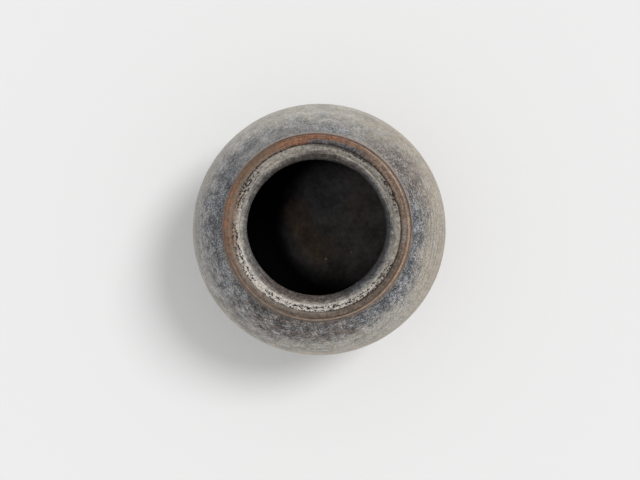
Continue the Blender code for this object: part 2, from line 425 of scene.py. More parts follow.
# %% [markdown]
# ## The wheel
#
# `turned` is the wheel: it sweeps a piece's strokes. A stroke is a line with a finish and a relief
# of its own, such as the outer wall, or a face that is buried in a joint. Each point is pushed out
# by its stroke's relief along the way the line faces there, so ridges swell and sink as clay does.
# A pot also dries a little out of round, so every ring is a very slight oval that turns slowly
# with height. All the pieces share that oval, so they still meet. A piece's wander moves its
# points further out on one side than on another, for an edge that a hand has pushed.

# %% Turn a piece
WALL_SEGMENTS = 480
HIDDEN_STEP = 4 * MM
OVAL = 0.35 * MM
OVAL_TWIST = 6.0
BELLY_LEAN = 0.5 * MM
BELLY_LEAN_SIDE = math.radians(12)
SHARP_ANGLE = math.radians(50)
dress_list = {}


def out_of_round(radius, turn, level):
    """How far the jar strays from a true circle here. The belly also leans a little to one side."""
    part = radius / belly_radius
    drift = OVAL_TWIST * level
    oval = OVAL * (math.cos(2 * turn - 0.9 + drift) + 0.5 * math.cos(3 * turn + 2.1 - drift))
    return oval * part + BELLY_LEAN * part**4 * math.cos(turn - BELLY_LEAN_SIDE)


def buried(points, finish):
    """A stroke that no one sees: coarse and plain."""
    return even(points, HIDDEN_STEP), finish, no_relief


def facings(line):
    """The outward way at each point of a line that runs down outside and up inside."""
    ahead = np.gradient(line, axis=0)
    ahead /= np.hypot(ahead[:, 0], ahead[:, 1])[:, None]
    return np.column_stack([-ahead[:, 1], ahead[:, 0]])


def outline_of(strokes):
    """A (point, outward way, relief, finish) for each ring.

    A corner between a buried face and a shown one follows the shown one.
    """
    rings = []
    for place, (line, finish, relief) in enumerate(strokes):
        before_line, _, before_relief = strokes[place - 1]
        outward = facings(line)
        first, first_relief = outward[0], relief
        if relief is no_relief:
            first, first_relief = facings(before_line)[-1], before_relief
        elif before_relief is not no_relief:
            first = (outward[0] + facings(before_line)[-1]) / 2
        rings.append((line[0], first, first_relief, finish))
        rings += [(line[spot], outward[spot], relief, finish) for spot in range(1, len(line) - 1)]
    if strokes[0][0][0][0] == 0:
        rings.append((strokes[-1][0][-1], (0, 0), no_relief, strokes[-1][1]))
    return rings


def turned(name, strokes, segments=WALL_SEGMENTS, wander=no_relief):
    """A turned piece from (line, finish, relief) strokes, each of which starts where the last ended."""
    outline = outline_of(strokes)
    finishes = sorted({finish for _, finish, _ in strokes})
    turns = [2 * math.pi * step / segments for step in range(segments)]
    places, rings = [], []
    for (radius, level), (out, up), relief, _ in outline:
        if radius == 0:
            rings.append([len(places)] * segments)
            places.append((0, 0, level))
            continue
        rings.append(range(len(places), len(places) + segments))
        for turn in turns:
            push = relief(radius, turn, level)
            stray = out_of_round(radius, turn, level) + wander(radius, turn, level)
            far = radius + push * out + stray
            places.append((far * math.cos(turn), far * math.sin(turn), level + push * up))
    faces, skins = [], []
    open_ended = outline[0][0][0] == 0
    for spot in range(len(outline) - open_ended):
        this, after = rings[spot], rings[(spot + 1) % len(outline)]
        for step in range(segments):
            beside = (step + 1) % segments
            corners = (this[step], after[step], after[beside], this[beside])
            faces.append(tuple(dict.fromkeys(corners)))
        skins += [finishes.index(outline[spot][3])] * segments
    mesh = bpy.data.meshes.new(name)
    mesh.from_pydata(places, [], faces)
    mesh.polygons.foreach_set("material_index", skins)
    mesh.polygons.foreach_set("use_smooth", [True] * len(faces))
    mesh.set_sharp_from_angle(angle=SHARP_ANGLE)
    stand(name, mesh)
    dress_list[name] = finishes
    print(name, "has", len(places), "points and", len(faces), "faces")


# %% [markdown]
# ## The floor of the jar
#
# The floor is a disc of clay beaten flat. Its top is the bottom of the glazed inside, with the
# spiral that fingers leave when they open the clay. The wall stands on its slanted edge. The
# middle of its underside is dished, so that the jar stands on a ring and does not rock. The marks
# of trimming only cut into the foot, so that its flat ring stays the lowest thing on the jar.

# %% Jar floor
WALL_STEP = 1.7 * MM
TRIM_STEP = 1.2 * MM
FINE_STEP = 0.8 * MM
FOOT_RING_WIDTH = 14 * MM
FOOT_DISH = 2.5 * MM
FOOT_EDGE = 2 * MM
SPIRAL_PITCH = 13 * MM
FOOT_JOINT = 4.55 * MM


def floor_relief(radius, turn, level):
    """The spiral of the opening fingers, dying out at the middle, and soft lumps."""
    wave = math.cos(radius / SPIRAL_PITCH * 2 * math.pi - turn)
    fade = min(1, radius / (SPIRAL_PITCH * 1.5))
    return (0.5 * wave * fade + 0.25 * lumps(radius, turn, level, 25 * MM, 4)) * MM


def foot_side_relief(radius, turn, level):
    """The wall's relief, dying out where the wall meets what it stands on."""
    return outside_relief(radius, turn, level) * slope(level, 0, FOOT_JOINT)


def foot_relief(radius, turn, level):
    """The trimmed foot: ridges of the trimming tool and dents of grit, all cut inward."""
    ridge = 0.10 * (ridges(turn, radius, 3.5 * MM, 2) - 1)
    dent = 0.12 * (lumps(radius, turn, level, 8 * MM, 8) - 1)
    return (ridge + dent) * MM


joint_inner = wall_inside(FOOT_JOINT)
top_edge = Vector((joint_inner.x, floor_top))
foot_flat = FOOT_RADIUS - FOOT_EDGE
foot_side = run(wall_outside, FOOT_JOINT, FOOT_EDGE, 8)
underside = [Vector((foot_flat, 0)), Vector((foot_flat - FOOT_RING_WIDTH, 0))]
dish = arc(underside[-1], (0, FOOT_DISH), -FOOT_DISH / 4)
foot_edge = arc(foot_side[-1], underside[0], FOOT_EDGE / 4)
turned("jar_floor", [
    (even([Vector((0, floor_top)), top_edge], WALL_STEP), "inner_glaze", floor_relief),
    buried([top_edge, joint_inner, foot_side[0]], "foot_clay"),
    (even(foot_side + foot_edge[1:], FINE_STEP), "wall_clay", foot_side_relief),
    (worn(even(underside + dish[1:], TRIM_STEP), 2), "foot_clay", foot_relief),
])

# %% [markdown]
# ## The corner coil
#
# Where the wall meets the floor, the potter presses in a soft roll of clay and wipes it hollow
# with a finger, which leaves shallow dents along it. Its back is sunk a millimetre into the wall
# and the floor, so no crack can show beside it.

# %% Corner coil
BURIED = 1.2 * MM
COIL_WIDTH = 11 * MM
COIL_HOLLOW = 1 * MM
COIL_DENT = 0.35 * MM
COIL_DENTS = 31
coil_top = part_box("corner_coil")[1].z


def finger_relief(radius, turn, level):
    """Shallow dents of a wiping finger, a little uneven."""
    uneven = 0.8 * noise.noise(Vector((math.cos(turn) * 3, math.sin(turn) * 3, 4)))
    wipe = math.cos(COIL_DENTS * turn + 4 * uneven)
    return COIL_DENT * wipe + 0.2 * MM * lumps(radius, turn, level, 12 * MM, 6)


def sunk_in_wall(level):
    """A point of the wall's inside, sunk a little into the clay."""
    return wall_inside(level, WALL - BURIED)


def coil(name, back, bow):
    """A coil pressed on a wall: a buried back, and a face that bows out or is hollow."""
    turned(name, [
        buried(back, "inner_glaze"),
        (even(arc(back[-1], back[0], bow), WALL_STEP), "inner_glaze", finger_relief),
    ])


foot_of_coil = where(lambda level: wall_inside(level).y < floor_top - BURIED, 0, belly_level)
head_of_coil = where(lambda level: wall_inside(level).y < coil_top, 0, belly_level)
coil_back = run(sunk_in_wall, head_of_coil, foot_of_coil, 60)
coil_back.append(Vector((coil_back[-1].x - BURIED - COIL_WIDTH, floor_top - BURIED / 2)))
coil("corner_roll", coil_back, -COIL_HOLLOW)

# %% [markdown]
# ## The wall
#
# The wall is thrown in two courses, from the floor to the belly and from there to the neck. They
# lap at the belly, and the lap is wiped over outside until it can't be seen, so both courses share
# one relief there.

# %% Lower and upper wall
BELLY_LAP = 6 * MM
NECK_INNER_RADIUS = 88 * MM
INSIDE_STEP = 2.6 * MM
DOME_SHARE = 0.98
belly_outer = belly_level - BELLY_LAP / 2
belly_inner = belly_level + BELLY_LAP / 2
neck_joint = where(lambda level: wall_inside(level).x > NECK_INNER_RADIUS,
                   belly_level, belly_level + dome * DOME_SHARE)


def course(name, outer_high, inner_high, outer_low, inner_low):
    """One course of the wall, between two joints that each have an outer and an inner level."""
    outside = run(wall_outside, outer_high, outer_low)
    inside = run(wall_inside, inner_low, inner_high)
    turned(name, [
        (even(outside, WALL_STEP), "wall_clay", outside_relief),
        buried([outside[-1], inside[0]], "wall_clay"),
        (even(inside, INSIDE_STEP), "inner_glaze", inside_relief),
        buried([inside[-1], outside[0]], "wall_clay"),
    ])


course("lower_course", belly_outer, belly_inner, FOOT_JOINT, FOOT_JOINT)
course("upper_course", shoulder_top, neck_joint, belly_outer, belly_inner)

# %% [markdown]
# ## The belly seam
#
# Inside, where only a hand can reach, the lap of the two courses is covered with a flat coil of
# clay, pressed down with the fingertips. It is a low bow over the joint.

# %% Seam coil
SEAM_THICK = 3 * MM
SEAM_HALF_WIDTH = 13 * MM
seam_back = run(sunk_in_wall, belly_inner + SEAM_HALF_WIDTH, belly_inner - SEAM_HALF_WIDTH)
coil("seam_roll", seam_back, SEAM_THICK + BURIED)

# %% [markdown]
# ## The neck
#
# A short thick neck joins the shoulder to the rim. Outside it is hollow, wiped with one finger
# into the shoulder, so its foot flares out, laps over the joint and thins to nothing. There it
# takes on the wall's own relief, so the lap has an even edge. Inside, it draws in to carry the lid
# ledge.

# %% Neck
NECK_FLARE = 2.8 * MM
NECK_LAP = 0.6 * MM
NECK_LAP_SINK = 0.3 * MM
NECK_HOLLOW = 2.4 * MM
THROAT_SWELL = 1.2 * MM
NECK_TOP_RADIUS = 98.5 * MM
NECK_SINK = 3 * MM
THROAT_TUCK = 0.3 * MM
NOSE_RADIUS = 74.9 * MM
NOSE_ROUND = 4 * MM
rim_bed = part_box("lip_roll")[0].z


def wiped_relief(radius, turn, level):
    """Lines of the wiping finger, and a slow wave."""
    return (0.12 * ridges(turn, level, 3 * MM, 11) + 0.2 * lumps(radius, turn, level, 18 * MM, 12)) * MM


def neck_relief(radius, turn, level):
    """The finger's lines, passing into the wall's relief where the neck laps over it."""
    lapped = slope(level, shoulder_top + 3 * MM, shoulder_top)
    own = wiped_relief(radius, turn, level)
    return own + (outside_relief(radius, turn, level) - own) * lapped


neck_top = Vector((NECK_TOP_RADIUS, rim_bed + BURIED))
neck_foot = wall_outside(shoulder_top) + NECK_LAP * wall_facing(shoulder_top)
flare_end = wall_inside(shoulder_top - NECK_FLARE, NECK_LAP_SINK)
neck_buried = wall_inside(shoulder_top - NECK_FLARE, NECK_SINK)
throat_foot = wall_inside(neck_joint)
nose_foot = Vector((NOSE_RADIUS + NOSE_ROUND, rim_bed))
throat_top = nose_foot + Vector((THROAT_TUCK, BURIED))
neck_side = arc(neck_top, neck_foot, -NECK_HOLLOW) + [flare_end]
turned("neck_collar", [
    (worn(even(neck_side, FINE_STEP), 3), "neck_clay", neck_relief),
    buried([flare_end, neck_buried, throat_foot], "neck_clay"),
    (even(arc(throat_foot, throat_top, THROAT_SWELL), TRIM_STEP), "inner_glaze", wiped_relief),
    buried([throat_top, neck_top], "neck_clay"),
])

# %% [markdown]
# ## The lid ledge
#
# A flat ring runs round inside the lip. A lid rested on it and was sealed with mud and lime. Its
# inner edge is a smooth round nose, a long soft roll polished by every hand that went past it. It
# is not a true circle: it reaches up to 2 mm further in at the back and the front, where the wet
# clay was squeezed as the lip was folded over.

# %% Lid ledge
RIM_SEGMENTS = 640
RIM_STEP = 0.6 * MM
NOSE_ROLL = 7.5 * MM
NOSE_BOW = 0.29
NOSE_SQUEEZE = [0.3 * MM, 1.3 * MM, 1.8 * MM, 0.9 * MM, -0.5 * MM, 1.1 * MM, 1.3 * MM, 1.4 * MM]
LEDGE_TUCK = 3 * MM
ledge_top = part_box("lid_ledge")[1].z
ledge_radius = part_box("lid_ledge")[1].x
nose_middle = (rim_bed + ledge_top) / 2


def ledge_relief(radius, turn, level):
    """Faint wheel lines and a slow wave."""
    lines = 0.05 * ridges(turn, radius + level, 1.6 * MM, 21)
    return (lines + 0.28 * lumps(radius, turn, level, 22 * MM, 22)) * MM


def squeezed(radius, turn, level):
    """The nose pushed inward, by an amount for each eighth of a turn and smooth between them."""
    near_nose = slope(radius, NOSE_RADIUS + NOSE_ROLL * 1.4, NOSE_RADIUS)
    eighth = turn / (math.pi / 4)
    before, past = NOSE_SQUEEZE[int(eighth) % 8], NOSE_SQUEEZE[(int(eighth) + 1) % 8]
    return -near_nose * (before + (past - before) * slope(eighth % 1, 0, 1))


def nose_point(turn):
    """A point on the rolled nose: turn 0 is its innermost point, and a quarter turn the flat on top."""
    inset, rise = 1 - math.cos(turn), math.sin(turn)
    return Vector((NOSE_RADIUS + NOSE_ROLL * inset, nose_middle + (ledge_top - nose_middle) * rise))


tuck = ledge_radius + LEDGE_TUCK
ledge_back = [Vector((tuck, ledge_top)), Vector((tuck, rim_bed)), nose_foot]
nose = arc(nose_foot, (NOSE_RADIUS, nose_middle), NOSE_ROUND * NOSE_BOW)
nose += run(nose_point, 0, math.pi / 2, 16)[1:]
turned("lid_rest", [
    buried(ledge_back, "ledge_clay"),
    (even(nose + [ledge_back[0]], RIM_STEP), "ledge_clay", ledge_relief),
], RIM_SEGMENTS, squeezed)

# %% [markdown]
# ## The lip
#
# The lip is a roll of clay folded over and pressed with a rib. The rib left an arris, a raised
# line round its outer shoulder, and a few grooves beside it. They are too fine and too wandering
# to draw in the outline, so they are part of the relief: each is a narrow swell or dip at a radius
# that changes a little round the jar. The inside of the fold is pushed to one side, and `folded`
# says how far.

# %% Lip
LIP_RADIUS = 101.5 * MM
LIP_ARRIS_INSET = 3.4 * MM
LIP_CROWN_RISE = 1.4 * MM
LIP_CROWN_WIDTH = 7.0 * MM
LIP_STEP_FOOT = 1.6 * MM
LIP_STEP_HOLLOW = 0.5 * MM
LIP_GAP = 0.3 * MM
ARRIS_PROUD = 0.45 * MM
ARRIS_SLIP = 1.5 * MM
ARRIS_SLIP_SIDE = math.radians(298)
ARRIS_WIDTH = 0.9 * MM
CHIP_WIDTH = 1.6 * MM
INNER_GROOVE_INSET = 1.7 * MM
INNER_GROOVE_WIDTH = 0.6 * MM
INNER_GROOVE_DEPTH = 0.45 * MM
OUTER_GROOVES = ((99.7 * MM, 0.5 * MM), (101.0 * MM, 0.4 * MM))
OUTER_GROOVE_DEPTH = 0.35 * MM
FOLD_SHIFT = 1.2 * MM
FOLD_SIDE = math.radians(238)
lip_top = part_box("lip_roll")[1].z
arris = Vector((LIP_RADIUS - LIP_ARRIS_INSET, lip_top - LIP_CROWN_RISE))
step_head = Vector((arris.x - LIP_CROWN_WIDTH, arris.y))
step_foot = Vector((ledge_radius + LIP_GAP, ledge_top + LIP_STEP_FOOT))


def folded(radius, turn, level):
    """The inner part of the fold is pushed outward on one side and inward on the other."""
    inner_part = slope(radius, arris.x - 1 * MM, step_head.x)
    inner_part *= slope(radius, ledge_radius - 6 * MM, ledge_radius - 1 * MM)
    return FOLD_SHIFT * inner_part * math.cos(turn - FOLD_SIDE)


def arris_radius(turn):
    """The arris slips outward on one side of the jar."""
    return arris.x + ARRIS_SLIP * slope(math.cos(turn - ARRIS_SLIP_SIDE), 0, 0.9)


def bump_at(radius, middle, width):
    """1 at the middle radius, falling to nothing over about two widths."""
    return math.exp(-(((radius - middle) / width) ** 2))


def lip_relief(radius, turn, level):
    """The arris, its grooves, rib lines along the crown, a slow wave, and chips out of the arris."""
    on_top = slope(level, lip_top - 6 * MM, lip_top - 3 * MM)
    crest = arris_radius(turn)
    chip = max(0.0, lumps(radius, turn, level, 4 * MM, 33) - 0.32) * bump_at(radius, crest, CHIP_WIDTH)
    raised = ARRIS_PROUD * bump_at(radius, crest, ARRIS_WIDTH)
    inner = bump_at(radius, crest - INNER_GROOVE_INSET, INNER_GROOVE_WIDTH) * (0.6 + 0.4 * math.cos(turn))
    outer = sum(bump_at(radius, middle, width) for middle, width in OUTER_GROOVES)
    grooves = INNER_GROOVE_DEPTH * inner + OUTER_GROOVE_DEPTH * outer
    lines = 0.10 * ridges(turn, radius + level, 1.9 * MM, 31, 0.9)
    slow = 0.25 * lumps(radius, turn, level, 28 * MM, 32)
    return (lines + slow - 1.6 * chip) * MM + on_top * (raised - grooves)


outer_swell = LIP_RADIUS - (arris.x + NECK_TOP_RADIUS) / 2
lip_foot = Vector((NECK_TOP_RADIUS, rim_bed))
lip_line = arc(step_foot, step_head, -LIP_STEP_HOLLOW)
lip_line += arc(step_head, arris, LIP_CROWN_RISE)[1:]
lip_line += arc(arris, lip_foot, outer_swell)[1:]
turned("lip_rim", [
    (worn(even(lip_line, RIM_STEP), 1), "lip_glaze", lip_relief),
    buried([lip_foot, Vector((step_foot.x, rim_bed)), step_foot], "lip_glaze"),
], RIM_SEGMENTS, folded)
print("the arris lies between", in_mm((arris_radius(0), arris_radius(ARRIS_SLIP_SIDE))), "mm")

# %% [markdown]
# ## The crust
#
# Each time the lid was sealed down, some of the sealing stayed behind in the corner between the
# ledge and the lip. It is chalky, lumpy and full of holes. Here it is a strip of its own, on a
# finer grid than anything else. The larger holes are real dents and the smaller ones are left to
# its finish.

# %% Crust
CRUST_SEGMENTS = 1200
CRUST_STEP = 0.42 * MM
CRUST_HIDDEN_STEP = 2 * MM
CRUST_WIDTH = 4.4 * MM
CRUST_SINK = 0.4 * MM
CRUST_TOE = 0.5 * MM
CRUST_BOW = 0.6 * MM
CRUST_CLIMB = 0.68


def crust_relief(radius, turn, level):
    """Lumps of two sizes, and sharp holes."""
    swell = 0.40 * lumps(radius, turn, level, 6 * MM, 41) + 0.28 * lumps(radius, turn, level, 2.4 * MM, 42)
    hole = max(0.0, lumps(radius, turn, level, 1.5 * MM, 43) - 0.25)
    return (swell - 2.2 * hole) * MM


crust_toe = Vector((step_foot.x - CRUST_WIDTH, ledge_top))
crust_crest = step_foot.lerp(step_head, CRUST_CLIMB)
crust_under = [
    crust_crest,
    crust_crest + Vector((1 * MM, 0)),
    Vector((ledge_radius + 1.2 * MM, ledge_top - CRUST_SINK)),
    crust_toe - Vector((0, CRUST_SINK)),
]
crust_face = [crust_under[-1]] + arc(crust_toe + Vector((0, CRUST_TOE)), crust_crest, CRUST_BOW)
turned("sealing_crust", [
    (even(crust_under, CRUST_HIDDEN_STEP), "crust", no_relief),
    (worn(even(crust_face, CRUST_STEP), 1), "crust", crust_relief),
], CRUST_SEGMENTS, folded)

# %% [markdown]
# ## Painting
#
# Every finish is a Principled shader fed by noise. Noise alone looks the same everywhere, and an
# old jar doesn't: soot gathers on one side, a hand has worn another. So the finishes ask two
# questions of each point: how far from the axis and how high is it, and on which side of the jar?
# `ease` turns such a distance into a mask with a soft edge. Finishes are painted in millimetres.

# %% Masks and places
def ease(value, start, end, low=0.0, high=1.0):
    """low where value is at start and high where it is at end, with an easy slope between."""
    inputs = {"Value": value, "From Min": start, "From Max": end, "To Min": low, "To Max": high}
    return get("MapRange", inputs, interpolation_type="SMOOTHSTEP")


def band(value, middle, reach):
    """1 where value is at the middle, and 0 from this reach away."""
    return ease(calc("ABSOLUTE", value - middle), reach, 0.0)


def point():
    """The point itself, in metres, as the jar stands."""
    return get("TexCoord", output="Object")


def place_on_jar():
    """A point's distance from the axis and its height in millimetres, and the way it lies."""
    flat = vector("MULTIPLY", point(), (1, 1, 0))
    radius = vector("LENGTH", flat, output="Value") * (1 / MM)
    level = get("SeparateXYZ", {0: point()}, "Z") * (1 / MM)
    return radius, level, vector("NORMALIZE", flat)


def agreement(heading, azimuth):
    """1 on the side of the jar at this azimuth in radians, and -1 on the opposite side."""
    way = (math.cos(azimuth), math.sin(azimuth), 0)
    return vector("DOT_PRODUCT", heading, way, output="Value")


def inward_radius(radius, heading):
    """The distance from the centre of the lip's fold, which is off the jar's axis."""
    return radius - agreement(heading, FOLD_SIDE) * (FOLD_SHIFT / MM)


print("the fold's centre is", FOLD_SHIFT / MM, "mm off the axis")

# %% [markdown]
# ### Coats of colour
#
# A colour is built up in coats, as a painter would: each is a colour and a mask that says how much
# of it lies where. `varied` lightens and darkens a colour by a pattern and keeps its mean, so a
# finish can be made richer without going darker.

# %% Coats
def layer(amount, under, over, how="MIX"):
    """The colour under, with the colour over laid on it by amount."""
    under, over = (colour if isinstance(colour, Value) else (*colour, 1) for colour in (under, over))
    return get("Mix", {0: amount, 6: under, 7: over}, 2, data_type="RGBA", blend_type=how)


def coats(colour, *layers):
    """The colour, with each (amount, colour) laid on it in turn."""
    for amount, over in layers:
        colour = layer(amount, colour, over)
    return colour


def varied(amount, colour, pattern):
    """The colour, lightened and darkened by a pattern that swings evenly about a half."""
    return layer(amount, colour, pattern, "OVERLAY")


print("a plain colour is linear (red, green, blue)")

# %% [markdown]
# ## Effects that several finishes share
#
# Four effects are built once as node groups, with named inputs, and placed in each material with
# its own values. These helpers open and close a group and place a finished one.

# %% Effect maker
def new_effect(name, output, **inputs):
    """An empty node group with number inputs and one number output, and what its inputs give."""
    group = bpy.data.node_groups.new(name, "ShaderNodeTree")
    for title, usual in inputs.items():
        socket = group.interface.new_socket(title, in_out="INPUT", socket_type="NodeSocketFloat")
        socket.default_value = usual
    group.interface.new_socket(output, in_out="OUTPUT", socket_type="NodeSocketFloat")
    given = group.nodes.new("NodeGroupInput").outputs
    return group, [Value(given[title]) for title in inputs]


def close_effect(result):
    """Makes this the output of the group."""
    feed(tree.nodes.new("NodeGroupOutput").inputs[0], result)
    tell(tree.name)


def effect(group, **inputs):
    """A placed effect's output."""
    made = tree.nodes.new("ShaderNodeGroup")
    made.node_tree = group
    for title, given in inputs.items():
        feed(made.inputs[title], given)
    return Value(made.outputs[0])


print("effects have numbers in and one number out")

# %% [markdown]
# ### Wheel lines
#
# Whatever touches a turning pot draws a line round it. The noise is read on a small circle, as the
# ridges in the mesh are, with the height and the radius as its other two directions, so the
# lines run round on a wall, on a ledge and under a foot alike. That takes noise in 4 dimensions.
# Read on a large circle, the lines break into dashes.

# %% Effect: wheel lines
tree, (pitch, waver, seed) = new_effect("wheel lines", "Lines", Pitch=2.0, Waver=1.0, Seed=0.0)
wheel_lines = tree
radius, level, heading = place_on_jar()
lift = get("CombineXYZ", {"Z": calc("DIVIDE", level, pitch) + seed})
read_at = vector("ADD", vector("MULTIPLY", heading, waver), lift)
lines = {"Vector": read_at, "W": calc("DIVIDE", radius, pitch), "Scale": 1, "Detail": 3, "Roughness": 0.6}
close_effect(get("TexNoise", lines, noise_dimensions="4D"))


def rounds(pitch, waver, seed):
    """Lines this pitch apart in millimetres. The larger waver is, the shorter they are."""
    return effect(wheel_lines, Pitch=pitch, Waver=waver, Seed=seed)


# %% [markdown]
# ### Patches
#
# Ash, stains and grains are all patches of some size. The noise is cut at a level that depends on
# Cover, their share of the surface, and Grit says how much fine detail rides on the big shapes. A
# cover of a half with a wide edge gives a cloudy pattern that swings evenly about a half, which is
# what `varied` needs.

# %% Effect: patches
usual = {"Size": 10.0, "Cover": 0.5, "Edge": 0.1, "Grit": 0.6, "Seed": 0.0}
tree, (size, cover, edge, grit, seed) = new_effect("patches", "Patches", **usual)
patches = tree
per_size = calc("DIVIDE", 1 / MM, size)
cloud = {"Vector": point(), "W": seed, "Scale": per_size, "Detail": 4, "Roughness": grit}
cut = 0.75 - cover * 0.5
close_effect(ease(get("TexNoise", cloud, noise_dimensions="4D"), cut - edge, cut + edge))


def clouds(size, edge, seed, cover=0.5, grit=0.6):
    """Patches of this size in millimetres. grit is how much fine detail they have."""
    return effect(patches, Size=size, Edge=edge, Seed=seed, Cover=cover, Grit=grit)


# %% [markdown]
# ### One side of the jar
#
# Azimuth is the middle of the side in degrees, counted from +X towards +Y, Reach is how far it
# goes either way, and Fade is how soft its ends are. A little noise makes the ends ragged. The
# angle comes from the dot product of two directions, so there is no seam anywhere.

# %% Effect: one side
RAGGED_SIZE = 25 * MM
usual = {"Azimuth": 0.0, "Reach": 60.0, "Fade": 30.0, "Seed": 0.0}
tree, (azimuth, reach, fade, seed) = new_effect("one side", "Side", **usual)
one_side = tree
toward = calc("RADIANS", azimuth)
aim = get("CombineXYZ", {"X": calc("COSINE", toward), "Y": calc("SINE", toward)})
agree = vector("DOT_PRODUCT", place_on_jar()[2], aim, output="Value")
away = calc("DEGREES", calc("ARCCOSINE", agree))
ragged = {"Vector": point(), "W": seed, "Scale": 1 / RAGGED_SIZE, "Detail": 3}
shift = (get("TexNoise", ragged, noise_dimensions="4D") - 0.5) * fade
close_effect(ease(away + shift, reach + fade * 0.5, reach - fade * 0.5))


def side(azimuth, reach, fade, seed):
    """A mask for one side of the jar, in degrees."""
    return effect(one_side, Azimuth=azimuth, Reach=reach, Fade=fade, Seed=seed)


# %% [markdown]
# ### Pores
#
# Grit that burnt out and bubbles that burst leave round holes. A Voronoi texture puts one centre
# in every cell and gives the cell a random colour. Only the cells whose colour falls under Share
# get a hole, so the holes are scattered and not in rows.

# %% Effect: pores
usual = {"Size": 1.5, "Share": 0.2, "Depth": 0.35, "Seed": 0.0}
tree, (size, share, depth, seed) = new_effect("pores", "Pores", **usual)
pores = tree
cells = {"Vector": point(), "W": seed, "Scale": calc("DIVIDE", 1 / MM, size)}
cells = node("TexVoronoi", cells, voronoi_dimensions="4D").outputs
chosen = calc("LESS_THAN", get("SeparateColor", {0: Value(cells["Color"])}), share)
close_effect(ease(Value(cells["Distance"]), depth, depth * 0.4) * chosen)


def pitted(size, share, depth, seed):
    """Round holes, in this share of the cells, which have this size in millimetres."""
    return effect(pores, Size=size, Share=share, Depth=depth, Seed=seed)


# %% [markdown]
# ## Finishes
#
# A finish is a material named for what it is on the jar. Two helpers start one and close it with
# a colour, a roughness, and a height map with its depth.

# %% Finish maker
finishes = {}


def new_finish(name, gloss):
    """A new finish's tree, and the inputs of its shader."""
    finishes[name], shader = new_material(name, gloss)
    return finishes[name].node_tree, shader


def lay_on(shader, colour, roughness, height, depth):
    """Connects a finish's colour, roughness and height."""
    bump = get("Bump", {"Height": height, "Distance": depth, "Strength": 1.0})
    for title, given in (("Base Color", colour), ("Roughness", roughness), ("Normal", bump)):
        feed(shader[title], given)
    tell(list(finishes)[-1])


print("finishes to make:", sorted({name for used in dress_list.values() for name in used}))

# %% [markdown]
# ## The wall's clay
#
# Outside, the jar is bare stoneware, grey on the left, creamier at the back and tan on the right,
# with clouds of every size in it and fine wheel lines everywhere.

# %% Wall clay, bare
tree, shader = new_finish("wall_clay", 0.25)
radius, level, _ = place_on_jar()
wheel = rounds(1.7, 1.6, 6)
colour = coats(
    (0.405, 0.380, 0.338),
    (side(100, 42, 50, 1), (0.475, 0.455, 0.410)),
    (side(287, 38, 40, 2), (0.440, 0.410, 0.360)),
    (side(12, 48, 40, 3), (0.385, 0.340, 0.280)),
    (side(205, 52, 40, 4), (0.350, 0.340, 0.328)),
    (clouds(24, 0.14, 5) * 0.30, (0.345, 0.305, 0.245)),
    (clouds(15, 0.10, 24, cover=0.42) * 0.45, (0.310, 0.322, 0.330)),
)
tell("the bare clay")

# %% [markdown]
# ### Ash on the shoulder
#
# In the kiln, ash flew against the shoulder and stuck. It lies in a band round the neck that runs
# further down the left and the front, is thin at the back, and ends in a ragged edge. It is a dark
# blue-grey on the whole and brownish in two places.

# %% Wall clay, ash
reach = (
    (clouds(15, 0.25, 7, grit=0.8) - 0.5) * 15 + radius
    - side(167, 42, 40, 8) * 5.8
    - side(260, 38, 30, 9) * 3.2
    - side(78, 34, 30, 10) * -1.5
    - side(36, 20, 20, 25) * 2.8
    - side(352, 16, 20, 26) * -4.6
    - side(226, 20, 24, 41) * 3.0
)
thin = most(
    side(90, 48, 40, 11) * 0.24,
    side(212, 20, 20, 12) * 0.28,
    side(60, 16, 20, 12) * 0.55,
    side(28, 12, 20, 12) * 0.16,
)
above = ease(level, 150, 185)
ash = ease(reach, 131, 110) * above * (1 - thin)
veil = ease(reach, 142, 122) * above
brownish = most(side(38, 24, 24, 13), side(260, 32, 30, 14))
ash_tone = layer(brownish, (0.176, 0.177, 0.184), (0.186, 0.162, 0.146))
colour = coats(colour, (veil * 0.28, (0.270, 0.262, 0.252)), (ash, ash_tone))
tell("the clay with its ash")

# %% [markdown]
# ### Speckle
#
# Close up, the ash is salt and pepper: blue-black specks and pale ones, about a millimetre each,
# thick in the ash and thin outside it. Many are drawn out along the turning, so half of them are
# dashes of the wheel lines effect. Bluish and brownish clouds tint the ash, and broader clouds lie
# under everything. They are laid on with `varied`, or as dark and pale specks that balance, so the
# mean stays as painted above. The back of the jar is the calmest side.

# %% Wall clay, speckle
colour = coats(
    colour,
    (clouds(3.4, 0.07, 31, cover=0.42) * ash * 0.45, (0.120, 0.152, 0.190)),
    (clouds(4.2, 0.07, 32, cover=0.34) * ash * 0.45, (0.205, 0.160, 0.128)),
)
broad = side(234, 30, 30, 43) * 0.20 + ash * 0.36 + 0.10
colour = varied(broad, colour, clouds(11, 0.16, 15, grit=0.7))
colour = varied(ash * 0.10 + 0.08, colour, clouds(4.5, 0.14, 16, grit=0.7))
calm = 1 - side(98, 50, 40, 42) * 0.40
colour = varied((ash * 0.46 + 0.30) * calm, colour, ease(rounds(1.3, 62, 33), 0.36, 0.64))
dark_grain = clouds(1.5, 0.035, 18, cover=ash * 0.28 + 0.12)
pale_grain = clouds(1.4, 0.035, 19, cover=ash * 0.18 + 0.12)
colour = coats(
    colour,
    (dark_grain * 0.82, (0.038, 0.046, 0.063)),
    (pale_grain * 0.70, (0.450, 0.455, 0.460)),
)
tell("the speckled clay")
